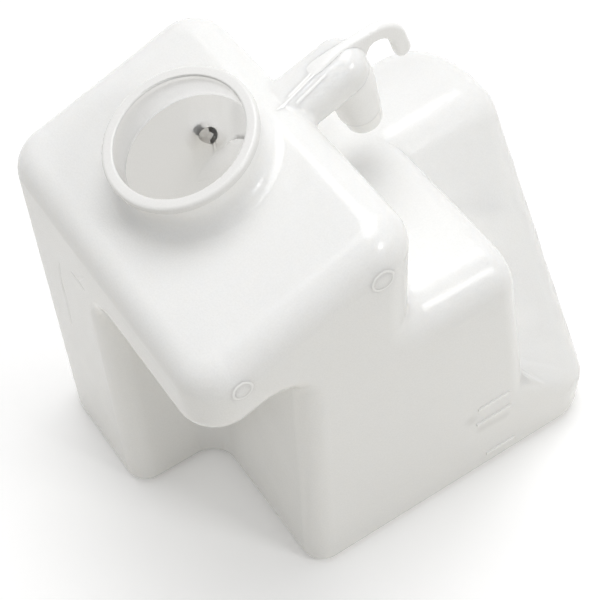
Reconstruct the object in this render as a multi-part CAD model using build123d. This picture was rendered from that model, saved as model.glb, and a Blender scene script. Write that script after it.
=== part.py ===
from build123d import *

import math
import os

# A blow-moulded overflow tank for engine coolant: one hollow shell with an open filler neck.
# It is modelled from its lower front left corner: X to the right, Y to the back, Z up, in millimetres.
# At the end it is moved, so that the origin is on the floor in the middle of its base.

# Overall size and wall
DEPTH = 147.0
WALL = 2.2
BASE_EDGE_RADIUS = 5.5
CORNER_RADIUS = 17.0

# Filler box: the tall part on the left, with a top that rises to the right
BOX_LENGTH = 96.0
BOX_TOP_LEFT = 168.5
TOP_SLOPE = 18.3
TOP_EDGE_RADIUS = 13.5

# Notch: the lower front left corner of the box is missing, which leaves two legs
NOTCH_LENGTH = 42.5
NOTCH_DEPTH = 78.0
NOTCH_TOP_LEFT = 132.5
NOTCH_INNER_RADIUS = 12.0
NOTCH_EDGE_RADIUS = 10.0

# Shoulder: the lower part on the right, a block beside the box and then a lobe with a leaning front
SHOULDER_HEIGHT = 141.0
JUNCTION_RADIUS = 5.0
BLOCK_LENGTH = 45.0
BLOCK_END_LEAN = 8.4
BLOCK_END_RADIUS = 10.0
LOBE_LENGTH = 54.0
LOBE_TOP_WIDTH = 16.0
LEAN_TOP_DEPTH = 79.0
LEAN_FOOT_LEFT = 60.0
LEAN_FOOT_RIGHT = 12.0
LEAN_TOP_RADIUS = 22.0
LEAN_FOOT_RADIUS = 24.0
LOBE_END_RADIUS = 20.0

# Filler neck, square to the sloping top, with a lip that a snap cap grips
NECK_X = 50.7
NECK_Y = 81.0
NECK_RADIUS = 27.5
NECK_HEIGHT = 17.7
NECK_FLARE_RADIUS = 7.0
LIP_WIDTH = 2.5
LIP_HEIGHT = 4.0
LIP_EDGE_RADIUS = 1.5
MOUTH_EDGE_RADIUS = 0.8

# Overflow arm: a flat duct that runs on from the sloping top, then a spout square to it
ARM_Y = 82.0
ARM_DROP = 2.5
ARM_WIDTH = 22.0
ARM_THICKNESS = 19.0
ARM_EDGE_RADIUS = 8.0
ARM_LENGTH = 16.0
ARM_BLEND_RADIUS = 4.0
SPOUT_RADIUS = 8.7
SPOUT_LENGTH = 26.0
SPOUT_TIP_RADIUS = 7.6
SPOUT_TIP_LENGTH = 7.0
SPOUT_BORE_RADIUS = 5.2
SPOUT_EDGE_RADIUS = 1.0

# Hose hook on the arm's end
HOOK_WIDTH = 7.0
HOOK_THICKNESS = 5.0
HOOK_EDGE_RADIUS = 2.0
HOOK_DROP = 5.0
HOOK_REACH = 18.0
HOOK_LENGTH = 18.5
HOOK_BEND_RADIUS = 11.0

# Hose outlet on the back, near the box's right corner
OUTLET_INSET = 9.0
OUTLET_Z = 121.0
OUTLET_RADIUS = 5.0
OUTLET_LENGTH = 13.0
OUTLET_BORE_RADIUS = 2.6
OUTLET_FUNNEL_RADIUS = 5.5
OUTLET_BOSS_RADIUS = 8.0
OUTLET_BOSS_HEIGHT = 1.5
OUTLET_EDGE_RADIUS = 1.0

# Raised level marks on the front of the block: left end, height above the floor and length of each
MARK_PROUD = 0.8
MARK_THICKNESS = 1.5
MARKS = [(125.8, 53.5, 16.3), (125.8, 42.0, 18.0), (132.8, 12.3, 15.6)]

# Names worked out from the sizes above
BLOCK_END = BOX_LENGTH + BLOCK_LENGTH
LENGTH = BLOCK_END + LOBE_LENGTH
BACK_JOIN = LEAN_TOP_DEPTH + LOBE_TOP_WIDTH
SHOULDER_BACK_RADIUS = DEPTH - BACK_JOIN
OUTLET_X = BOX_LENGTH - OUTLET_INSET
SLOPE = math.radians(TOP_SLOPE)
UP_SLOPE = Vector(math.cos(SLOPE), 0, math.sin(SLOPE))
TOP_NORMAL = Vector(-math.sin(SLOPE), 0, math.cos(SLOPE))
BOX_TOP = Plane(origin=(0, 0, BOX_TOP_LEFT), x_dir=UP_SLOPE, z_dir=TOP_NORMAL)
NOTCH_TOP = Plane(origin=(0, 0, NOTCH_TOP_LEFT), x_dir=UP_SLOPE, z_dir=TOP_NORMAL)
NECK_SEAT = BOX_TOP * Pos(NECK_X / math.cos(SLOPE), NECK_Y, 0)
SPOUT_SEAT = BOX_TOP * Pos(BOX_LENGTH / math.cos(SLOPE) + ARM_LENGTH, ARM_Y, -ARM_DROP)
ABOVE_ALL = BOX_TOP_LEFT + LENGTH
END_LEAN = math.radians(BLOCK_END_LEAN)
END_NORMAL = Vector(math.cos(END_LEAN), 0, math.sin(END_LEAN))
BLOCK_END_WALL = Plane(origin=(BLOCK_END, 0, SHOULDER_HEIGHT), x_dir=(0, 1, 0), z_dir=END_NORMAL)
END_NORMAL_AXIS = Axis((0, 0, 0), END_NORMAL)
TOP_NORMAL_AXIS = Axis((0, 0, 0), TOP_NORMAL)
TO_BACK_RIGHT = Axis((0, 0, 0), (1, 1, 0))


def box_top_height(x, inset=0):
    """Height of the sloping top above the floor at one place along the length."""
    return BOX_TOP_LEFT + x * math.tan(SLOPE) - inset / math.cos(SLOPE)


def outline(points, radii):
    """Face inside a closed outline, with its own radius at each corner."""
    face = make_face(Polyline(*points, close=True))
    for point, radius in zip(points, radii):
        if radius > 0:
            face = fillet(face.vertices().sort_by_distance(point)[0], radius)
    return face


def cross_section(x):
    """Plane square to the length, with Y and Z as its own axes."""
    return Plane(origin=(x, 0, 0), x_dir=(0, 1, 0), z_dir=(1, 0, 0))


def front_part(inset):
    """Front of the box and the block, up to where the shoulder's back rounding begins.

    One rounding runs down the box's upright corner, round the hollow where the two meet
    and along the block's top, which a rounding of each piece by itself would not give.
    """
    wall = BOX_LENGTH - inset
    low = SHOULDER_HEIGHT - inset
    points = [
        (inset, inset),
        (LENGTH, inset),
        (LENGTH, low),
        (wall, low),
        (wall, box_top_height(wall, inset)),
        (inset, box_top_height(inset, inset)),
    ]
    face = outline(points, [0, 0, 0, JUNCTION_RADIUS + inset, 0, 0])
    facing = Plane(origin=(0, inset, 0), x_dir=(1, 0, 0), z_dir=(0, -1, 0))
    body = extrude(facing * face, amount=inset - BACK_JOIN)
    front_edges = body.faces().sort_by(Axis.Y)[0].edges()
    base_edge = front_edges.sort_by(Axis.Z)[0]
    end_edge = front_edges.sort_by(Axis.X)[-1]
    top_edge = front_edges.sort_by(TOP_NORMAL_AXIS)[-1]
    rounded = [edge for edge in front_edges if edge not in (base_edge, end_edge, top_edge)]
    return fillet(rounded, CORNER_RADIUS - inset)


def back_of_box(inset):
    """Back of the filler box, with a sloping top and two upright rounded corners."""
    wall = BOX_LENGTH - inset
    back = DEPTH - inset
    corner = CORNER_RADIUS - inset
    points = [(inset, BACK_JOIN), (wall, BACK_JOIN), (wall, back), (inset, back)]
    blank = extrude(Pos(0, 0, inset) * outline(points, [0, 0, corner, corner]), amount=ABOVE_ALL)
    return split(blank, bisect_by=BOX_TOP.offset(-inset), keep=Keep.BOTTOM)


def back_of_block(inset):
    """Back of the block, which rounds down from the shoulder's top to its back."""
    centre = (BACK_JOIN, SHOULDER_HEIGHT - SHOULDER_BACK_RADIUS)
    radius = SHOULDER_BACK_RADIUS - inset
    back = DEPTH - inset
    top_start = (BACK_JOIN, SHOULDER_HEIGHT - inset)
    sides = Polyline(top_start, (BACK_JOIN, inset), (back, inset), (back, centre[1]))
    face = make_face([*sides.edges(), CenterArc(centre, radius, 0, 90)])
    start = BOX_LENGTH / 2
    return extrude(cross_section(start) * face, amount=LENGTH - start)


def back_junction(inset):
    """Hollow between the box and the back of the block, turned about the hollow's own axis."""
    radius = SHOULDER_BACK_RADIUS - inset
    wall = BOX_LENGTH - inset
    centre = (wall - radius, BACK_JOIN)
    sides = Polyline((wall - radius, BACK_JOIN + radius), centre, (wall, BACK_JOIN))
    face = make_face([*sides.edges(), CenterArc(centre, radius, 0, 90)])
    height = SHOULDER_HEIGHT + JUNCTION_RADIUS
    hollow_axis = Axis((BOX_LENGTH + JUNCTION_RADIUS, 0, height), (0, 1, 0))
    return revolve(Pos(0, 0, height) * face, hollow_axis, -90)


def box_and_block(inset):
    """The box and the block as one form, with the block's end leaning out towards its foot."""
    body = front_part(inset) + back_of_box(inset) + back_of_block(inset) + back_junction(inset)
    top = body.faces().sort_by(TOP_NORMAL_AXIS)[-1]
    body = fillet(top.edges(), TOP_EDGE_RADIUS - inset)
    body = split(body, bisect_by=BLOCK_END_WALL.offset(-inset), keep=Keep.BOTTOM)
    end = body.faces().sort_by(END_NORMAL_AXIS)[-1]
    return fillet(end.edges().sort_by(Axis.Z)[1:], BLOCK_END_RADIUS - inset)


def notch(inset):
    """Space missing from the box's lower front left corner; a larger inset makes it larger."""
    plan = Rectangle(2 * (NOTCH_LENGTH + inset), 2 * (NOTCH_DEPTH + inset))
    blank = extrude(plan, amount=ABOVE_ALL, both=True)
    space = split(blank, bisect_by=NOTCH_TOP.offset(inset), keep=Keep.BOTTOM)
    upright = space.edges().filter_by(Axis.Z).sort_by(TO_BACK_RIGHT)[-1]
    ceiling = space.faces().sort_by(TOP_NORMAL_AXIS)[-1]
    far_edges = ceiling.edges().sort_by(TO_BACK_RIGHT)[-2:]
    return fillet([upright, *far_edges], NOTCH_INNER_RADIUS + inset)


def notched(body, inset):
    """The form with the notch taken out and the notch's outer edges rounded."""
    space = notch(inset)
    cut = body - space
    made = new_edges(body, space, combined=cut).filter_by(lambda edge: edge.center().Z > inset + WALL / 2)
    return fillet(made, NOTCH_EDGE_RADIUS - inset)


def lobe_section(x, inset):
    """Cross-section of the lobe at one place along the length: its front leans back from a foot."""
    slide = (x - BLOCK_END) / (LENGTH - BLOCK_END)
    foot = LEAN_FOOT_LEFT + (LEAN_FOOT_RIGHT - LEAN_FOOT_LEFT) * slide
    rise = SHOULDER_HEIGHT - foot
    reach = inset * math.hypot(LEAN_TOP_DEPTH, rise)
    low_corner = (inset, foot + (inset * rise - reach) / LEAN_TOP_DEPTH)
    high_corner = (LEAN_TOP_DEPTH + (reach - inset * LEAN_TOP_DEPTH) / rise, SHOULDER_HEIGHT - inset)
    back = DEPTH - inset
    points = [(inset, inset), (back, inset), (back, SHOULDER_HEIGHT - inset), high_corner, low_corner]
    radii = [0, 0, SHOULDER_BACK_RADIUS - inset, LEAN_TOP_RADIUS - inset, LEAN_FOOT_RADIUS - inset]
    return cross_section(x) * outline(points, radii)


def lobe(inset):
    """Right lobe, ruled between a section inside the block and the right end."""
    start = BLOCK_END - 2 * BLOCK_END_RADIUS
    body = loft([lobe_section(start, inset), lobe_section(LENGTH - inset, inset)], ruled=True)
    end = body.faces().sort_by(Axis.X)[-1]
    return fillet(end.edges().sort_by(Axis.Z)[1:], LOBE_END_RADIUS - inset)


def skin(inset):
    """Form of the tank without neck, arm and outlet, with every wall moved in by the inset."""
    body = notched(box_and_block(inset), inset) + lobe(inset)
    base = body.faces().sort_by(Axis.Z)[0]
    return fillet(base.edges(), BASE_EDGE_RADIUS - inset)


def neck(inset):
    """Filler neck as a solid of revolution; with an inset it is the bore, open at the mouth."""
    radius = NECK_RADIUS - inset
    if inset > 0:
        return NECK_SEAT * Cylinder(radius, 2 * NECK_HEIGHT + CORNER_RADIUS)
    seat = -CORNER_RADIUS / 2
    lip_radius = radius + LIP_WIDTH
    lip_base = NECK_HEIGHT - LIP_HEIGHT
    points = [
        (0, seat),
        (radius, seat),
        (radius, lip_base),
        (lip_radius, lip_base),
        (lip_radius, NECK_HEIGHT),
        (0, NECK_HEIGHT),
    ]
    section = outline(points, [0, 0, 0, LIP_EDGE_RADIUS, LIP_EDGE_RADIUS, 0])
    return NECK_SEAT * revolve(Plane.XZ * section, Axis.Z)


def with_neck(body, inset):
    """The form with its neck, and a flare round the foot of the neck."""
    tube = neck(inset)
    joined = body + tube
    foot = new_edges(body, tube, combined=joined)
    return fillet(foot, NECK_FLARE_RADIUS + inset)


def arm(inset):
    """Flat duct with a round end over the spout; it starts inside the box."""
    width = ARM_WIDTH - 2 * inset
    run = 2 * ARM_LENGTH + ARM_WIDTH / 2
    plan = Rectangle(run, width, align=(Align.MAX, Align.CENTER)) + Circle(width / 2)
    body = extrude(plan, amount=ARM_THICKNESS - 2 * inset)
    top_and_bottom = body.faces().filter_by(Axis.Z)
    edges = [edge for face in top_and_bottom for edge in face.edges().sort_by(Axis.X)[1:]]
    body = fillet(edges, ARM_EDGE_RADIUS - inset)
    return SPOUT_SEAT * Pos(0, 0, inset - ARM_THICKNESS) * body


def with_arm(body, inset):
    """The form with the arm, blended into the box all round."""
    duct = arm(inset)
    joined = body + duct
    return fillet(new_edges(body, duct, combined=joined), ARM_BLEND_RADIUS + inset)


def rod(radius, length):
    """Round rod that stands on the origin."""
    return Cylinder(radius, length, align=(Align.CENTER, Align.CENTER, Align.MIN))


def spout():
    """Outside of the spout: a tube with a narrower tip, from inside the arm."""
    tip_end = -ARM_THICKNESS - SPOUT_LENGTH
    tip_start = tip_end + SPOUT_TIP_LENGTH
    top = -ARM_THICKNESS / 2
    points = [
        (0, top),
        (SPOUT_RADIUS, top),
        (SPOUT_RADIUS, tip_start),
        (SPOUT_TIP_RADIUS, tip_start),
        (SPOUT_TIP_RADIUS, tip_end),
        (0, tip_end),
    ]
    section = outline(points, [0, 0, SPOUT_EDGE_RADIUS, 0, SPOUT_EDGE_RADIUS, 0])
    return SPOUT_SEAT * revolve(Plane.XZ * section, Axis.Z)


def spout_bore():
    """Passage from the arm's inside through the spout's open end."""
    length = ARM_THICKNESS / 2 + SPOUT_LENGTH + SPOUT_TIP_LENGTH
    return SPOUT_SEAT * Pos(0, 0, -ARM_THICKNESS / 2 - length) * rod(SPOUT_BORE_RADIUS, length)


def hook():
    """Hose hook: a rounded strip that runs on from the arm's end and turns down."""
    turn = ARM_WIDTH / 2 + HOOK_REACH - HOOK_WIDTH / 2
    level = -HOOK_DROP
    tip = (turn, level - HOOK_LENGTH)
    middle = FilletPolyline((0, level), (turn, level), tip, radius=HOOK_BEND_RADIUS)
    band = make_face(offset(middle, HOOK_WIDTH / 2))
    strip = extrude(SPOUT_SEAT * Rot(90, 0, 0) * band, amount=HOOK_THICKNESS / 2, both=True)
    side_faces = strip.faces().filter_by(Axis.Y)
    return fillet([edge for face in side_faces for edge in face.edges()], HOOK_EDGE_RADIUS)


def outlet():
    """Outside of the hose outlet on the back, with a low round boss at its foot."""
    tube = rod(OUTLET_RADIUS, CORNER_RADIUS + OUTLET_LENGTH)
    tube = fillet(tube.edges().sort_by(Axis.Z)[-1], OUTLET_EDGE_RADIUS)
    boss = rod(OUTLET_BOSS_RADIUS, CORNER_RADIUS + OUTLET_BOSS_HEIGHT)
    boss = fillet(boss.edges().sort_by(Axis.Z)[-1], OUTLET_EDGE_RADIUS)
    return Pos(OUTLET_X, DEPTH - CORNER_RADIUS, OUTLET_Z) * Rot(-90, 0, 0) * (tube + boss)


def outlet_bore():
    """Bore of the outlet, with a funnel on the inside of the wall."""
    bore = rod(OUTLET_BORE_RADIUS, CORNER_RADIUS + 2 * OUTLET_LENGTH)
    depth = OUTLET_FUNNEL_RADIUS - OUTLET_BORE_RADIUS
    funnel = Cone(OUTLET_FUNNEL_RADIUS, OUTLET_BORE_RADIUS, depth)
    cutter = bore + Pos(0, 0, CORNER_RADIUS - WALL - depth / 2) * funnel
    return Pos(OUTLET_X, DEPTH - CORNER_RADIUS, OUTLET_Z) * Rot(-90, 0, 0) * cutter


def level_marks():
    """Raised bars on the front that show how full the tank is."""
    bars = []
    for left, height, length in MARKS:
        bar = Box(length, 2 * MARK_PROUD, MARK_THICKNESS)
        bars.append(Pos(left + length / 2, 0, height) * bar)
    return bars


def with_mouth_edge(tank):
    """The tank with the inner edge of its mouth rounded."""
    mouth = NECK_SEAT * Pos(0, 0, NECK_HEIGHT)
    rim = tank.edges().filter_by(GeomType.CIRCLE).sort_by_distance(mouth.position)[0]
    return fillet(rim, MOUTH_EDGE_RADIUS)


def main():
    os.makedirs("parts", exist_ok=True)
    outside = with_arm(with_neck(skin(0), 0), 0)
    for piece in [spout(), hook(), outlet(), *level_marks()]:
        outside += piece
    hollow = with_arm(with_neck(skin(WALL), WALL), WALL)
    for passage in [spout_bore(), outlet_bore()]:
        hollow += passage
    tank = Pos(-LENGTH / 2, -DEPTH / 2, 0) * with_mouth_edge(outside - hollow)
    tank.label = "tank"
    export_step(tank, "parts/tank.step")


main()
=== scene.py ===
import math

import bmesh
import bpy
from mathutils import Matrix, Vector
from mathutils.bvhtree import BVHTree


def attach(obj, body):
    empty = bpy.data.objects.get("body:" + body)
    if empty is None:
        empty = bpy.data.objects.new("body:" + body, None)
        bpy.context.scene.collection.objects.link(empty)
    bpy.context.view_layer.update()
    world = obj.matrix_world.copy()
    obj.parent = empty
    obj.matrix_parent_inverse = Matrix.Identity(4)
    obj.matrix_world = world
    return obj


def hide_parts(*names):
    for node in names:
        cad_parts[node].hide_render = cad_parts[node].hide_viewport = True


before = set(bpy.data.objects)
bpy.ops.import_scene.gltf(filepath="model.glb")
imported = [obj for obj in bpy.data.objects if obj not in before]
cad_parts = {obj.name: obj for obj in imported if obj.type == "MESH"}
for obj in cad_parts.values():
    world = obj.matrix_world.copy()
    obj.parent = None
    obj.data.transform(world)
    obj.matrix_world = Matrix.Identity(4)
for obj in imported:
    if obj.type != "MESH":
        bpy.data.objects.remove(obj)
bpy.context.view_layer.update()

bl_info = {
    "name": "Coolant tank dresser",
    "version": (1, 0, 0),
    "blender": (4, 5, 0),
    "location": "3D View > Sidebar > Tank",
    "description": "Finishes a moulded coolant tank and sets it on a pale studio floor",
    "category": "Object",
}

MM = 0.001
SHELL = "tank"
BODY = "root"

# The sloping top of the filler box, in the tank's own frame: a point on it and its two directions
TOP_SLOPE = math.radians(18.3)
TOP_POINT = Vector((-97.5, 8.5, 168.5)) * MM
UP_SLOPE = Vector((math.cos(TOP_SLOPE), 0.0, math.sin(TOP_SLOPE)))
TOP_NORMAL = Vector((-math.sin(TOP_SLOPE), 0.0, math.cos(TOP_SLOPE)))
ACROSS = Vector((0.0, 1.0, 0.0))

# The arm's top, over the spout's middle
ARM_TOP = TOP_POINT + (96.0 / math.cos(TOP_SLOPE) + 16.0) * MM * UP_SLOPE - 2.5 * MM * TOP_NORMAL

# A point on the inner skin, and where that skin ends: at the mouth, at the spout's open end and
# at the outlet's open end
INNER_FLOOR = Vector((0.0, 0.0, 2.2)) * MM
MOUTH_HEIGHT = 16.6 * MM
SPOUT_END = ARM_TOP - 45.0 * MM * TOP_NORMAL
SPOUT_REACH = 12.0 * MM
OPENING_DEPTH = 1.0 * MM
OUTLET_END = 86.0 * MM

# Narrow passages of the inner skin: where the arm's starts on the right of the box, where the
# outlet's funnel starts in front of the back wall, and the funnel's radius
PASSAGE_START = 1.0 * MM
OUTLET_INSIDE = Vector((-10.5, 66.0, 121.0)) * MM
FUNNEL_RADIUS = 5.6 * MM

# The studio floor lies just over the tank's base, so that no two faces share a plane
FLOOR_HEIGHT = 0.05 * MM

# Where the outer skin is thick: above the lip's base, beyond the arm's end and before the front.
# Nothing of the arm or the hook is lower than ARM_LOW.
LIP_BASE = 13.6 * MM
ARM_END = 11.4 * MM
ARM_LOW = 170.0 * MM
HOOK_SIDE = 4.0 * MM
FRONT = -73.55 * MM

# Root of the hook on the arm, in millimetres: distance along the arm from the spout's middle,
# upper and lower edge over the arm's top, and half the width
HOOK_ROOT = [
    (-14.0, -0.6, -3.0, 3.4),
    (-10.0, 0.2, -4.0, 3.9),
    (-5.0, 0.7, -7.0, 3.6),
    (0.0, 0.8, -11.0, 3.2),
    (5.0, 0.4, -15.0, 2.9),
    (8.5, -0.1, -16.0, 2.75),
    (10.3, -0.5, -13.2, 2.66),
    (12.0, -0.9, -10.6, 2.6),
    (13.7, -1.25, -9.0, 2.56),
    (15.4, -1.6, -8.5, 2.52),
    (16.6, -2.3, -7.9, 2.1),
]

# Shoulder of the spout, in millimetres: height over the arm's top, how far its middle lies
# along the arm, and its radius
SPOUT_SHOULDER = [
    (-10.0, 0.3, 9.0),
    (-13.5, 0.7, 10.2),
    (-18.0, 0.9, 10.2),
    (-22.5, 0.9, 9.9),
    (-27.0, 0.6, 9.5),
    (-32.0, 0.3, 9.1),
    (-36.6, 0.0, 8.78),
    (-37.2, 0.0, 8.3),
]

# Fine raised lines along the arm's top, in millimetres
ARM_LINES = [
    [(-13.9, 3.4, 195.0), (-1.9, 5.5, 197.5), (8.0, 6.9, 200.8), (15.0, 7.6, 203.1)],
    [(-7.1, 5.9, 195.8), (1.3, 7.2, 198.5), (11.2, 9.0, 201.8)],
    [(-6.3, 1.7, 195.0), (1.4, 2.5, 198.0), (8.2, 3.3, 200.5)],
]

# Round marks of the mould's vents on the front, in millimetres: middle and radius
VENT_MARKS = [((-79.6, -73.5, 161.6), 3.8), ((-20.5, -73.5, 179.3), 4.4)]

# Folds in the left side, each between two points in millimetres
FOLDS = [
    ((-97.5, 36.8, 131.0), (-97.5, 40.0, 116.3)),
    ((-97.5, 40.0, 116.3), (-97.5, 38.8, 105.0)),
    ((-97.5, 38.8, 105.0), (-97.5, 41.0, 86.0)),
    ((-97.5, 24.4, 138.3), (-97.5, 20.2, 139.6)),
    ((-97.5, 20.2, 139.6), (-97.5, 15.9, 143.6)),
    ((-97.5, 15.9, 143.6), (-96.5, 10.5, 150.5)),
    ((-97.5, 19.5, 139.8), (-97.5, 14.6, 138.0)),
]

# Darker patches beside the level marks, which are painted shade, each between two points in
# millimetres
PAINTED_SHADE_PATCHES = [
    ((31.0, -73.5, 36.6), (44.0, -73.5, 35.4)),
    ((24.5, -73.5, 48.8), (25.6, -73.5, 47.0)),
]

# Most that two faces may turn and still look smooth: on the shell and on the added pieces
SHELL_SMOOTH = math.radians(32.0)
PIECE_SMOOTH = math.radians(50.0)

# Patterns of the plastic, in cycles over a metre: cloudy patches, slow waves and fine grain
CLOUD_SCALE = 22.0
WAVE_SCALE = 34.0
GRAIN_SCALE = 1500.0

# How far the roughness goes up and down. It stays under 0.27, because where a surface crosses that
# value the renderer's noise filter leaves pale blobs.
ROUGHNESS_SWING = 0.03

# Slots of the shell's finishes
OUTSIDE, INSIDE, THICK, PASSAGE, LIP = range(5)

# Camera: its place in millimetres, and which ways are right and up in its picture
CAMERA_PLACE = Vector((-216.30, -346.92, 620.32)) * MM
CAMERA_RIGHT = Vector((0.83218, -0.55313, -0.03911))
CAMERA_UP = Vector((0.46330, 0.65481, 0.59714))

# Half the side of the studio floor, and the point that the lamps are turned towards, in metres
FLOOR_REACH = 4.0
LAMP_AIM = (0.0, 0.0, 0.1)


class PlasticSettings(bpy.types.PropertyGroup):
    """Colour and finish of the moulded plastic"""
    outer_colour: bpy.props.FloatVectorProperty(
        name="Outer colour", description="Colour of the milky plastic's outer skin",
        subtype="COLOR", size=3, min=0.0, max=1.0, default=(0.905, 0.9, 0.882))
    # Painted light: the inner skin is a lighter and warmer copy of the plastic than the outer skin,
    # which brightens the inside of the tank
    inner_colour: bpy.props.FloatVectorProperty(
        name="Inner colour", description="Colour of the milky plastic's inner skin",
        subtype="COLOR", size=3, min=0.0, max=1.0, default=(0.997, 0.986, 0.93))
    speckle: bpy.props.FloatProperty(
        name="Speckle", description="How much darker the finest specks of the plastic are",
        subtype="FACTOR", min=0.0, max=1.0, default=0.03, precision=3)
    thick_colour: bpy.props.FloatVectorProperty(
        name="Thick colour", description="Colour of the plastic where it is thick or solid",
        subtype="COLOR", size=3, min=0.0, max=1.0, default=(0.925, 0.922, 0.91))
    # Painted shade: the lip gets a darker copy of the plastic, so that its front looks shaded
    lip_painted_shade_colour: bpy.props.FloatVectorProperty(
        name="Lip colour", description="Colour of the plastic on the neck's lip",
        subtype="COLOR", size=3, min=0.0, max=1.0, default=(0.82, 0.815, 0.8))
    patch_depth: bpy.props.FloatProperty(
        name="Patches", description="How much darker the faint cloudy patches are",
        subtype="FACTOR", min=0.0, max=1.0, default=0.008, precision=3)
    roughness: bpy.props.FloatProperty(
        name="Roughness", description="How dull the moulded surface is", subtype="FACTOR",
        min=0.0, max=1.0, default=0.22)
    milkiness: bpy.props.FloatProperty(
        name="Milkiness", description="Share of the light that spreads inside the wall",
        subtype="FACTOR", min=0.0, max=1.0, default=1.0)
    outer_spread: bpy.props.FloatProperty(
        name="Outer spread", description="How far light travels inside the wall from its outside",
        subtype="DISTANCE", unit="LENGTH", min=0.0, default=0.003, precision=4)
    # The inner skin's far larger spread is part of the same painted light: it carries outside light
    # deep into the inside
    inner_spread: bpy.props.FloatProperty(
        name="Inner spread", description="How far light travels inside the wall from its inside",
        subtype="DISTANCE", unit="LENGTH", min=0.0, default=0.18, precision=4)
    passage_colour: bpy.props.FloatVectorProperty(
        name="Passage colour", description="Colour of the plastic inside the arm and the outlet",
        subtype="COLOR", size=3, min=0.0, max=1.0, default=(0.99, 0.985, 0.96))
    passage_spread: bpy.props.FloatProperty(
        name="Passage spread", description="How far light travels inside the narrow passages' wall",
        subtype="DISTANCE", unit="LENGTH", min=0.0, default=0.03, precision=4)
    grain: bpy.props.FloatProperty(
        name="Grain", description="Depth of the fine grain left by the mould",
        subtype="DISTANCE", unit="LENGTH", min=0.0, default=0.00004, precision=5)
    wave: bpy.props.FloatProperty(
        name="Wave", description="Depth of the slow waves in the blown wall",
        subtype="DISTANCE", unit="LENGTH", min=0.0, default=0.0002, precision=5)


class LineSettings(bpy.types.PropertyGroup):
    """Fine raised lines and round marks left by the mould"""
    width: bpy.props.FloatProperty(
        name="Width", description="Width of a raised line", subtype="DISTANCE",
        unit="LENGTH", min=0.0, default=0.0012, precision=4)
    height: bpy.props.FloatProperty(
        name="Height", description="How far a raised line stands proud", subtype="DISTANCE",
        unit="LENGTH", min=0.0, default=0.00012, precision=5)
    fold_width: bpy.props.FloatProperty(
        name="Fold width", description="Half the width of a fold in the left side",
        subtype="DISTANCE", unit="LENGTH", min=0.0, default=0.0012, precision=4)
    fold_depth: bpy.props.FloatProperty(
        name="Fold depth", description="How deep a fold in the left side looks",
        subtype="DISTANCE", unit="LENGTH", min=0.0, default=0.0002, precision=4)
    # The patches by the level marks are painted shade: their colour is made darker by the patch
    # shade
    patch_width: bpy.props.FloatProperty(
        name="Patch width", description="Half the width of the duller patches by the level marks",
        subtype="DISTANCE", unit="LENGTH", min=0.0, default=0.0042, precision=4)
    patch_shade: bpy.props.FloatProperty(
        name="Patch shade", description="How much darker the patches by the level marks are",
        subtype="FACTOR", min=0.0, max=1.0, default=0.10)


class StageSettings(bpy.types.PropertyGroup):
    """Floor, lamps and camera"""
    floor_colour: bpy.props.FloatVectorProperty(
        name="Floor colour", description="Colour of the studio floor", subtype="COLOR",
        size=3, min=0.0, max=1.0, default=(0.8, 0.78, 0.72))
    seen_floor_colour: bpy.props.FloatVectorProperty(
        name="Seen floor colour", description="Colour of the studio floor as it is seen directly",
        subtype="COLOR", size=3, min=0.0, max=1.0, default=(1.0, 1.0, 1.0))
    seen_floor_glow: bpy.props.FloatProperty(
        name="Seen floor glow", description="Light that the floor adds where it is seen directly",
        subtype="FACTOR", min=0.0, max=1.0, default=0.08)
    far_floor_glow: bpy.props.FloatProperty(
        name="Far floor glow", description="The same far from the tank, where less light falls",
        subtype="FACTOR", min=0.0, max=1.0, default=0.5)
    glow_start: bpy.props.FloatProperty(
        name="Glow start", description="Distance from the tank at which the glow starts to rise",
        subtype="DISTANCE", unit="LENGTH", min=0.0, default=0.35)
    glow_end: bpy.props.FloatProperty(
        name="Glow end", description="Distance from the tank at which the glow is strongest",
        subtype="DISTANCE", unit="LENGTH", min=0.0, default=1.8)
    sky: bpy.props.FloatProperty(
        name="Sky", description="Strength of the even light all round", min=0.0, default=0.54)
    overhead_power: bpy.props.FloatProperty(
        name="Overhead lamp", description="Power of the large lamp above", subtype="POWER",
        unit="POWER", min=0.0, default=12.4)
    front_power: bpy.props.FloatProperty(
        name="Front lamp", description="Power of the lamp at the front right",
        subtype="POWER", unit="POWER", min=0.0, default=4.5)
    lens: bpy.props.FloatProperty(
        name="Lens", description="Focal length of the camera on a 36 mm sensor",
        subtype="DISTANCE_CAMERA", unit="CAMERA", min=1.0, default=96.0)


def merged_copy(name):
    """Mesh of a frame node with its loose triangles joined."""
    form = bmesh.new()
    form.from_mesh(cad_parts[name].data)
    bmesh.ops.remove_doubles(form, verts=form.verts, dist=0.000001)
    form.normal_update()
    return form


def height_over_top(point):
    """How far a point is above the plane of the filler box's sloping top."""
    return (point - TOP_POINT).dot(TOP_NORMAL)


def height_along_spout(point):
    """How far a point is above the spout's open end, along the spout."""
    return (point - SPOUT_END).dot(TOP_NORMAL)


def is_opening(point):
    """Whether a point of the shell is at an open end, where the inner skin meets the outer one."""
    at_mouth = height_over_top(point) > MOUTH_HEIGHT
    near_spout = (point - SPOUT_END).length < SPOUT_REACH
    at_spout = near_spout and height_along_spout(point) < OPENING_DEPTH
    at_outlet = point.y > OUTLET_END
    return at_mouth or at_spout or at_outlet


def inner_faces(form):
    """Faces of the inner skin: all that are reached from the tank's floor without an open end."""
    seed = min(form.faces, key=lambda face: (face.calc_center_median() - INNER_FLOOR).length)
    found = {seed}
    waiting = [seed]
    while waiting:
        face = waiting.pop()
        for edge in face.edges:
            for other in edge.link_faces:
                if other not in found and not is_opening(other.calc_center_median()):
                    found.add(other)
                    waiting.append(other)
    return found


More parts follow.
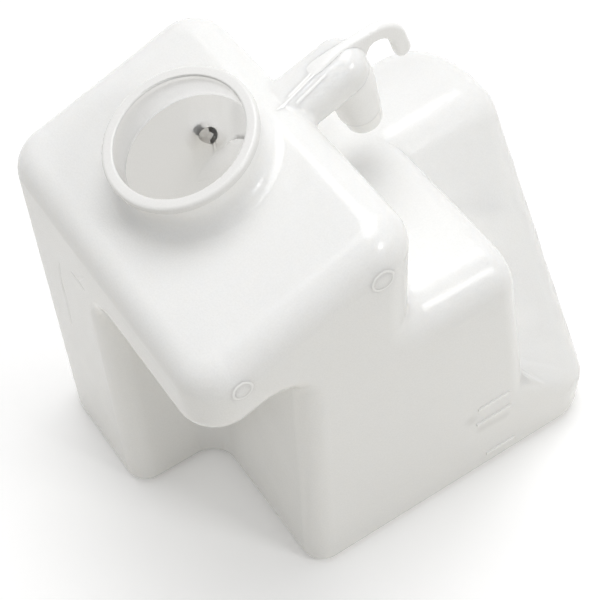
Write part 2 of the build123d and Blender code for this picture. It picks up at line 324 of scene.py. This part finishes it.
def in_passage(point):
    """Whether a point of the inner skin is inside the arm, or in the hose outlet or its funnel."""
    away = point - OUTLET_INSIDE
    in_outlet = away.y > 0.0 and math.hypot(away.x, away.z) < FUNNEL_RADIUS
    in_arm = point.x > PASSAGE_START and point.z > ARM_LOW
    return in_outlet or in_arm


def on_lip(point):
    """Whether a point of the outer skin is on the neck's lip."""
    return height_over_top(point) > LIP_BASE and point.x < PASSAGE_START


def is_thick(point):
    """Whether a point of the outer skin is on the hook or a level mark."""
    from_arm = point - ARM_TOP
    beside = abs(from_arm.dot(ACROSS))
    on_hook = from_arm.dot(UP_SLOPE) > ARM_END and beside < HOOK_SIDE and point.z > ARM_LOW
    on_mark = point.y < FRONT
    return on_hook or on_mark


def smooth_normals(mesh, limit):
    """Give a mesh corner normals in which large flat faces count for more than thin ones."""
    around = [[] for _ in mesh.vertices]
    for face in mesh.polygons:
        for vertex in face.vertices:
            around[vertex].append(face)
    closest = math.cos(limit)
    normals = []
    for face in mesh.polygons:
        for vertex in face.vertices:
            total = Vector((0.0, 0.0, 0.0))
            for other in around[vertex]:
                if face.normal.dot(other.normal) > closest:
                    total += other.normal * other.area
            normals.append(total.normalized() if total.length > 0.0 else face.normal)
    mesh.normals_split_custom_set(normals)


def new_piece(name, mesh):
    """Object for a mesh, riding on the tank's body."""
    piece = bpy.data.objects.new(name, mesh)
    bpy.context.scene.collection.objects.link(piece)
    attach(piece, BODY)
    return piece


def segment_group():
    """Shader group that gives the distance from a place to the line between two points."""
    made = bpy.data.node_groups.new("distance_to_segment", "ShaderNodeTree")
    for label in ("Place", "Start", "End"):
        made.interface.new_socket(label, in_out="INPUT", socket_type="NodeSocketVector")
    made.interface.new_socket("Distance", in_out="OUTPUT", socket_type="NodeSocketFloat")
    nodes = made.nodes
    links = made.links
    given = nodes.new("NodeGroupInput")
    result = nodes.new("NodeGroupOutput")

    def vector_step(operation, first, second):
        step = nodes.new("ShaderNodeVectorMath")
        step.operation = operation
        links.new(first, step.inputs[0])
        links.new(second, step.inputs[1])
        return step

    run = vector_step("SUBTRACT", given.outputs["End"], given.outputs["Start"])
    away = vector_step("SUBTRACT", given.outputs["Place"], given.outputs["Start"])
    along = vector_step("DOT_PRODUCT", away.outputs["Vector"], run.outputs["Vector"])
    whole = vector_step("DOT_PRODUCT", run.outputs["Vector"], run.outputs["Vector"])
    share = nodes.new("ShaderNodeMath")
    share.operation = "DIVIDE"
    share.use_clamp = True
    links.new(along.outputs["Value"], share.inputs[0])
    links.new(whole.outputs["Value"], share.inputs[1])
    part = nodes.new("ShaderNodeVectorMath")
    part.operation = "SCALE"
    links.new(run.outputs["Vector"], part.inputs[0])
    links.new(share.outputs["Value"], part.inputs["Scale"])
    nearest = vector_step("ADD", given.outputs["Start"], part.outputs["Vector"])
    gap = vector_step("DISTANCE", given.outputs["Place"], nearest.outputs["Vector"])
    links.new(gap.outputs["Value"], result.inputs["Distance"])
    return made


def near_segments(nodes, links, place, group, segments, width):
    """Socket that is 1 on the given segments and falls smoothly to 0 at the width."""
    smallest = None
    for start, end in segments:
        step = nodes.new("ShaderNodeGroup")
        step.node_tree = group
        step.inputs["Start"].default_value = Vector(start) * MM
        step.inputs["End"].default_value = Vector(end) * MM
        links.new(place, step.inputs["Place"])
        if smallest is None:
            smallest = step.outputs["Distance"]
            continue
        least = nodes.new("ShaderNodeMath")
        least.operation = "MINIMUM"
        links.new(smallest, least.inputs[0])
        links.new(step.outputs["Distance"], least.inputs[1])
        smallest = least.outputs["Value"]
    fall = nodes.new("ShaderNodeMapRange")
    fall.interpolation_type = "SMOOTHSTEP"
    fall.inputs["From Min"].default_value = width
    fall.inputs["From Max"].default_value = 0.0
    links.new(smallest, fall.inputs["Value"])
    return fall.outputs["Result"]


def noise(nodes, links, place, scale, detail):
    """Socket of a noise with a scale and a detail."""
    made = nodes.new("ShaderNodeTexNoise")
    made.inputs["Scale"].default_value = scale
    made.inputs["Detail"].default_value = detail
    links.new(place, made.inputs["Vector"])
    return made.outputs["Fac"]


def spread_between(nodes, links, value, low, high, bottom, top):
    """Socket that goes from bottom to top while the value goes from low to high."""
    made = nodes.new("ShaderNodeMapRange")
    made.inputs["From Min"].default_value = low
    made.inputs["From Max"].default_value = high
    made.inputs["To Min"].default_value = bottom
    made.inputs["To Max"].default_value = top
    links.new(value, made.inputs["Value"])
    return made.outputs["Result"]


def bumped(nodes, links, height, distance, normal=None, invert=False):
    """Normal that is bumped by a height, on top of another normal where one is given."""
    made = nodes.new("ShaderNodeBump")
    made.invert = invert
    made.inputs["Strength"].default_value = 1.0
    made.inputs["Distance"].default_value = distance
    links.new(height, made.inputs["Height"])
    if normal:
        links.new(normal, made.inputs["Normal"])
    return made.outputs["Normal"]


def plastic_colour(nodes, links, colour, clouds, grain, patches):
    """Socket of the plastic's colour, with faint clouds, fine specks and patches of painted shade
    beside the level marks.
    """
    settings = bpy.context.scene.tank_plastic
    lines = bpy.context.scene.tank_lines
    cloudy = nodes.new("ShaderNodeValToRGB")
    cloudy.color_ramp.elements[0].position = 0.3
    cloudy.color_ramp.elements[0].color = (*[c - settings.patch_depth for c in colour], 1.0)
    cloudy.color_ramp.elements[1].position = 0.62
    cloudy.color_ramp.elements[1].color = (*colour, 1.0)
    links.new(clouds, cloudy.inputs["Fac"])
    speckle = spread_between(nodes, links, grain, 0.35, 0.65, 1.0 - settings.speckle, 1.0)
    speckled = nodes.new("ShaderNodeVectorMath")
    speckled.operation = "SCALE"
    links.new(cloudy.outputs["Color"], speckled.inputs[0])
    links.new(speckle, speckled.inputs["Scale"])
    # Painted shade: a darker colour on the patches beside the level marks
    shade = nodes.new("ShaderNodeMix")
    shade.data_type = "RGBA"
    shade.inputs["B"].default_value = (*[c - lines.patch_shade for c in colour], 1.0)
    links.new(patches, shade.inputs["Factor"])
    links.new(speckled.outputs["Vector"], shade.inputs["A"])
    return shade.outputs["Result"]


def milky_plastic(name, colour, spread):
    """Milky plastic with fine grain, slow waves and faint cloudy patches.

    Light spreads inside the wall, and with no spread the plastic is as thick parts look.
    """
    settings = bpy.context.scene.tank_plastic
    lines = bpy.context.scene.tank_lines
    made = bpy.data.materials.new(name)
    made.use_nodes = True
    nodes = made.node_tree.nodes
    links = made.node_tree.links
    nodes.clear()
    place = nodes.new("ShaderNodeTexCoord").outputs["Object"]
    clouds = noise(nodes, links, place, CLOUD_SCALE, 3.0)
    waves = noise(nodes, links, place, WAVE_SCALE, 1.0)
    grain = noise(nodes, links, place, GRAIN_SCALE, 2.0)
    group = bpy.data.node_groups.get("distance_to_segment") or segment_group()
    folds = near_segments(nodes, links, place, group, FOLDS, lines.fold_width)
    # Patches of painted shade beside the level marks
    patches = near_segments(nodes, links, place, group, PAINTED_SHADE_PATCHES, lines.patch_width)
    normal = bumped(nodes, links, waves, settings.wave)
    normal = bumped(nodes, links, grain, settings.grain, normal)
    normal = bumped(nodes, links, folds, lines.fold_depth, normal, invert=True)
    dullness = spread_between(
        nodes, links, clouds, 0.3, 0.7,
        settings.roughness - ROUGHNESS_SWING, settings.roughness + ROUGHNESS_SWING)
    shader = nodes.new("ShaderNodeBsdfPrincipled")
    shader.inputs["IOR"].default_value = 1.5
    shader.inputs["Subsurface Weight"].default_value = settings.milkiness if spread > 0.0 else 0.0
    shader.inputs["Subsurface Radius"].default_value = (1.0, 0.97, 0.93)
    shader.inputs["Subsurface Scale"].default_value = spread
    tone = plastic_colour(nodes, links, colour, clouds, grain, patches)
    links.new(tone, shader.inputs["Base Color"])
    links.new(dullness, shader.inputs["Roughness"])
    links.new(normal, shader.inputs["Normal"])
    finish = nodes.new("ShaderNodeOutputMaterial")
    links.new(shader.outputs["BSDF"], finish.inputs["Surface"])
    return made


class TANK_OT_shell(bpy.types.Operator):
    """Make the moulded shell with a finish for its outer skin and one for its inner skin"""
    bl_idname = "tank.shell"
    bl_label = "Make the shell"

    def execute(self, context):
        settings = context.scene.tank_plastic
        form = merged_copy(SHELL)
        inner = inner_faces(form)
        for face in form.faces:
            face.smooth = True
            middle = face.calc_center_median()
            if face in inner:
                face.material_index = PASSAGE if in_passage(middle) else INSIDE
            elif on_lip(middle):
                face.material_index = LIP
            elif is_thick(middle):
                face.material_index = THICK
            else:
                face.material_index = OUTSIDE
        mesh = bpy.data.meshes.new("tank_shell")
        form.to_mesh(mesh)
        form.free()
        smooth_normals(mesh, SHELL_SMOOTH)
        for name, colour, spread in (
                ("milky_plastic_outside", settings.outer_colour, settings.outer_spread),
                # The inside's finish is a lighter copy of the plastic with far more spread: painted
                # light inside the tank. The passages' finish has much less spread, so they stay
                # darker
                ("milky_plastic_inside_painted_light", settings.inner_colour, settings.inner_spread),
                ("milky_plastic_thick", settings.thick_colour, 0.0),
                ("milky_plastic_passage", settings.passage_colour, settings.passage_spread),
                # The lip's finish is a darker copy of the plastic: painted shade
                ("milky_plastic_lip_painted_shade", settings.lip_painted_shade_colour, 0.0)):
            mesh.materials.append(milky_plastic(name, colour, spread))
        shell = new_piece("tank_shell", mesh)
        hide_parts(SHELL)
        return {"FINISHED"}


def thick_finish():
    """The finish of the shell's thick parts."""
    return bpy.data.materials["milky_plastic_thick"]


def arm_place(along, side, up):
    """Place given in millimetres along the arm, to its left and above its top."""
    return ARM_TOP + (along * UP_SLOPE + side * ACROSS + up * TOP_NORMAL) * MM


def lofted_mesh(name, rings):
    """Closed mesh through rings with the same number of points."""
    form = bmesh.new()
    rows = [[form.verts.new(point) for point in ring] for ring in rings]
    for row, following in zip(rows, rows[1:]):
        for place in range(len(row)):
            after = (place + 1) % len(row)
            form.faces.new((row[place], row[after], following[after], following[place]))
    form.faces.new(rows[0])
    form.faces.new(rows[-1])
    bmesh.ops.recalc_face_normals(form, faces=form.faces)
    for face in form.faces:
        face.smooth = True
    mesh = bpy.data.meshes.new(name)
    form.to_mesh(mesh)
    form.free()
    mesh.set_sharp_from_angle(angle=PIECE_SMOOTH)
    mesh.materials.append(thick_finish())
    return mesh


def between(rows, steps):
    """Rows of numbers with smooth steps put between them."""
    made = []
    for place in range(len(rows) - 1):
        before = rows[max(place - 1, 0)]
        start = rows[place]
        end = rows[place + 1]
        after = rows[min(place + 2, len(rows) - 1)]
        for step in range(steps):
            t = step / steps
            made.append([
                b + t * (e - a) / 2 + t * t * (a - 2.5 * b + 2 * e - f / 2)
                + t ** 3 * (-a + 3 * b - 3 * e + f) / 2
                for a, b, e, f in zip(before, start, end, after)])
    made.append(list(rows[-1]))
    return made


class TANK_OT_hook_root(bpy.types.Operator):
    """Make the root that leads the hook out of the arm's top"""
    bl_idname = "tank.hook_root"
    bl_label = "Make the hook's root"

    def execute(self, context):
        rings = []
        points = 32
        for along, top, bottom, half_width in between(HOOK_ROOT, 4):
            ring = []
            for step in range(points):
                turn = 2 * math.pi * step / points
                wide = math.copysign(abs(math.cos(turn)) ** 0.6, math.cos(turn))
                high = math.copysign(abs(math.sin(turn)) ** 0.6, math.sin(turn))
                height = (top + bottom) / 2 + high * (top - bottom) / 2
                ring.append(arm_place(along, wide * half_width, height))
            rings.append(ring)
        new_piece("hook_root", lofted_mesh("hook_root", rings))
        return {"FINISHED"}


class TANK_OT_spout_shoulder(bpy.types.Operator):
    """Make the smooth shoulder between the arm's end and the spout"""
    bl_idname = "tank.spout_shoulder"
    bl_label = "Make the spout's shoulder"

    def execute(self, context):
        rings = []
        points = 64
        for height, middle, radius in between(SPOUT_SHOULDER, 4):
            turns = [2 * math.pi * step / points for step in range(points)]
            rings.append([
                arm_place(middle + radius * math.cos(turn), radius * math.sin(turn), height)
                for turn in turns])
        new_piece("spout_shoulder", lofted_mesh("spout_shoulder", rings))
        return {"FINISHED"}


def raised_line_tree():
    """Geometry Nodes tree that runs a round bead along a path of edges."""
    made = bpy.data.node_groups.new("raised_line", "GeometryNodeTree")
    made.interface.new_socket("Geometry", in_out="INPUT", socket_type="NodeSocketGeometry")
    made.interface.new_socket("Bead radius", in_out="INPUT", socket_type="NodeSocketFloat")
    made.interface.new_socket("Material", in_out="INPUT", socket_type="NodeSocketMaterial")
    made.interface.new_socket("Geometry", in_out="OUTPUT", socket_type="NodeSocketGeometry")
    nodes = made.nodes
    links = made.links
    given = nodes.new("NodeGroupInput")
    result = nodes.new("NodeGroupOutput")
    path = nodes.new("GeometryNodeMeshToCurve")
    links.new(given.outputs["Geometry"], path.inputs["Mesh"])
    round_edge = nodes.new("GeometryNodeCurvePrimitiveCircle")
    round_edge.inputs["Resolution"].default_value = 20
    links.new(given.outputs["Bead radius"], round_edge.inputs["Radius"])
    bead = nodes.new("GeometryNodeCurveToMesh")
    bead.inputs["Fill Caps"].default_value = True
    links.new(path.outputs["Curve"], bead.inputs["Curve"])
    links.new(round_edge.outputs["Curve"], bead.inputs["Profile Curve"])
    real = nodes.new("GeometryNodeRealizeInstances")
    links.new(bead.outputs["Mesh"], real.inputs["Geometry"])
    finish = nodes.new("GeometryNodeSetMaterial")
    links.new(real.outputs["Geometry"], finish.inputs["Geometry"])
    links.new(given.outputs["Material"], finish.inputs["Material"])
    links.new(finish.outputs["Geometry"], result.inputs["Geometry"])
    return made


def raised_lines(name, paths, sink, bead_radius):
    """Piece with a bead along each path, sunk into the shell so that only its crown shows."""
    shell = bmesh.new()
    shell.from_mesh(bpy.data.objects["tank_shell"].data)
    surface = BVHTree.FromBMesh(shell)
    points = []
    edges = []
    for path, closed in paths:
        first = len(points)
        for point in path:
            place, normal, _, _ = surface.find_nearest(Vector(point) * MM)
            points.append(place - normal * sink)
        last = len(points) - 1
        edges += [(step, step + 1) for step in range(first, last)]
        if closed:
            edges.append((last, first))
    shell.free()
    mesh = bpy.data.meshes.new(name)
    mesh.from_pydata(points, edges, [])
    source = bpy.data.objects.new(name + "_paths", mesh)
    bpy.context.scene.collection.objects.link(source)
    tree = bpy.data.node_groups.get("raised_line") or raised_line_tree()
    maker = source.modifiers.new("bead", "NODES")
    maker.node_group = tree
    values = {"Bead radius": bead_radius, "Material": thick_finish()}
    for item in tree.interface.items_tree:
        if item.in_out == "INPUT" and item.name in values:
            maker[item.identifier] = values[item.name]
    depsgraph = bpy.context.evaluated_depsgraph_get()
    made = bpy.data.meshes.new_from_object(source.evaluated_get(depsgraph), depsgraph=depsgraph)
    made.name = name
    bpy.data.objects.remove(source)
    for face in made.polygons:
        face.use_smooth = True
    return new_piece(name, made)


class TANK_OT_lines(bpy.types.Operator):
    """Make the fine raised lines on the arm and the round vent marks on the front"""
    bl_idname = "tank.lines"
    bl_label = "Make the mould's lines"

    def execute(self, context):
        settings = context.scene.tank_lines
        half = settings.width / 2
        bead_radius = (half * half + settings.height ** 2) / (2 * settings.height)
        sink = bead_radius - settings.height
        lines = [(between(line, 8), False) for line in ARM_LINES]
        raised_lines("arm_lines", lines, sink, bead_radius)
        rings = []
        points = 40
        for (x, y, z), radius in VENT_MARKS:
            turns = [2 * math.pi * step / points for step in range(points)]
            ring = [(x + radius * math.cos(t), y, z + radius * math.sin(t)) for t in turns]
            rings.append((ring, True))
        raised_lines("vent_marks", rings, sink, bead_radius)
        return {"FINISHED"}


def seen_directly(nodes, links):
    """Socket that is 1 for what is seen directly, in a reflection or through something clear."""
    rays = nodes.new("ShaderNodeLightPath")
    direct = rays.outputs["Is Camera Ray"]
    for kind in ("Is Glossy Ray", "Is Transmission Ray"):
        either = nodes.new("ShaderNodeMath")
        either.operation = "MAXIMUM"
        links.new(direct, either.inputs[0])
        links.new(rays.outputs[kind], either.inputs[1])
        direct = either.outputs["Value"]
    return direct


def studio_world(settings):
    """World with even light all round, and white where it is seen directly."""
    made = bpy.data.worlds.new("studio")
    made.use_nodes = True
    nodes = made.node_tree.nodes
    links = made.node_tree.links
    back = nodes["Background"]
    back.inputs["Color"].default_value = (1.0, 1.0, 1.0, 1.0)
    direct = seen_directly(nodes, links)
    strength = spread_between(nodes, links, direct, 0.0, 1.0, settings.sky, 1.0)
    links.new(strength, back.inputs["Strength"])
    return made


def studio_floor(settings):
    """Material of the floor: pale, hardly uneven, and white where it is seen directly."""
    made = bpy.data.materials.new("studio_floor")
    made.use_nodes = True
    nodes = made.node_tree.nodes
    links = made.node_tree.links
    shader = nodes["Principled BSDF"]
    place = nodes.new("ShaderNodeTexCoord").outputs["Object"]
    tones = nodes.new("ShaderNodeValToRGB")
    tones.color_ramp.elements[0].color = (*[0.995 * c for c in settings.floor_colour], 1.0)
    tones.color_ramp.elements[1].color = (*settings.floor_colour, 1.0)
    links.new(noise(nodes, links, place, 3.0, 2.0), tones.inputs["Fac"])
    seen = nodes.new("ShaderNodeMix")
    seen.data_type = "RGBA"
    seen.inputs["B"].default_value = (*settings.seen_floor_colour, 1.0)
    direct = seen_directly(nodes, links)
    away = nodes.new("ShaderNodeVectorMath")
    away.operation = "LENGTH"
    links.new(place, away.inputs[0])
    rise = spread_between(
        nodes, links, away.outputs["Value"], settings.glow_start, settings.glow_end,
        settings.seen_floor_glow, settings.far_floor_glow)
    glow = nodes.new("ShaderNodeMath")
    glow.operation = "MULTIPLY"
    links.new(direct, glow.inputs[0])
    links.new(rise, glow.inputs[1])
    links.new(glow.outputs["Value"], shader.inputs["Emission Strength"])
    shader.inputs["Emission Color"].default_value = (1.0, 1.0, 1.0, 1.0)
    links.new(direct, seen.inputs["Factor"])
    links.new(tones.outputs["Color"], seen.inputs["A"])
    links.new(seen.outputs["Result"], shader.inputs["Base Color"])
    shader.inputs["Roughness"].default_value = 0.95
    shader.inputs["Specular IOR Level"].default_value = 0.1
    return made


def lamp(name, place, size, power):
    """Soft square lamp at a place, turned towards the tank."""
    data = bpy.data.lights.new(name, "AREA")
    data.shape = "SQUARE"
    data.size = size
    data.energy = power
    made = bpy.data.objects.new(name, data)
    bpy.context.scene.collection.objects.link(made)
    made.location = place
    made.rotation_euler = (Vector(LAMP_AIM) - Vector(place)).to_track_quat("-Z", "Y").to_euler()
    return made


class TANK_OT_stage(bpy.types.Operator):
    """Build the floor, the lamps and the camera"""
    bl_idname = "tank.stage"
    bl_label = "Set the stage"

    def execute(self, context):
        scene = context.scene
        settings = scene.tank_stage
        scene.view_settings.view_transform = "Standard"
        scene.world = studio_world(settings)
        mesh = bpy.data.meshes.new("floor")
        corners = ((-1.0, -1.0), (1.0, -1.0), (1.0, 1.0), (-1.0, 1.0))
        mesh.from_pydata(
            [(x * FLOOR_REACH, y * FLOOR_REACH, FLOOR_HEIGHT) for x, y in corners],
            [], [(0, 1, 2, 3)])
        floor = bpy.data.objects.new("floor", mesh)
        scene.collection.objects.link(floor)
        floor.data.materials.append(studio_floor(settings))
        lamp("overhead", (0.25, 0.35, 1.6), 1.1, settings.overhead_power)
        lamp("front_right", (0.55, -1.1, 1.3), 0.35, settings.front_power)
        data = bpy.data.cameras.new("camera")
        data.lens = settings.lens
        data.sensor_width = 36.0
        data.clip_start = 0.01
        data.clip_end = 20.0
        camera = bpy.data.objects.new("camera", data)
        scene.collection.objects.link(camera)
        backwards = CAMERA_RIGHT.cross(CAMERA_UP)
        turn = Matrix((CAMERA_RIGHT, CAMERA_UP, backwards)).transposed()
        camera.matrix_world = Matrix.Translation(CAMERA_PLACE) @ turn.to_4x4()
        scene.camera = camera
        return {"FINISHED"}


class TANK_PT_panel(bpy.types.Panel):
    """Lists the pieces and their settings"""
    bl_idname = "TANK_PT_panel"
    bl_label = "Tank"
    bl_space_type = "VIEW_3D"
    bl_region_type = "UI"
    bl_category = "Tank"

    def draw(self, context):
        layout = self.layout
        for group, operators in PANEL_ROWS:
            settings = getattr(context.scene, group)
            box = layout.box()
            for key in settings.bl_rna.properties.keys():
                if key not in ("rna_type", "name"):
                    box.prop(settings, key)
            for operator in operators:
                box.operator(operator)


SETTING_GROUPS = [
    ("tank_plastic", PlasticSettings),
    ("tank_lines", LineSettings),
    ("tank_stage", StageSettings),
]
PANEL_ROWS = [
    ("tank_plastic", ["tank.shell", "tank.hook_root", "tank.spout_shoulder"]),
    ("tank_lines", ["tank.lines"]),
    ("tank_stage", ["tank.stage"]),
]
CLASSES = [
    PlasticSettings, LineSettings, StageSettings,
    TANK_OT_shell, TANK_OT_hook_root, TANK_OT_spout_shoulder, TANK_OT_lines, TANK_OT_stage,
    TANK_PT_panel,
]


def register():
    for item in CLASSES:
        bpy.utils.register_class(item)
    for name, group in SETTING_GROUPS:
        setattr(bpy.types.Scene, name, bpy.props.PointerProperty(type=group))


def unregister():
    for name, _ in SETTING_GROUPS:
        delattr(bpy.types.Scene, name)
    for item in reversed(CLASSES):
        bpy.utils.unregister_class(item)


def main():
    register()
    bpy.ops.tank.stage()
    bpy.ops.tank.shell()
    bpy.ops.tank.hook_root()
    bpy.ops.tank.spout_shoulder()
    bpy.ops.tank.lines()


if __name__ == "__main__":
    main()
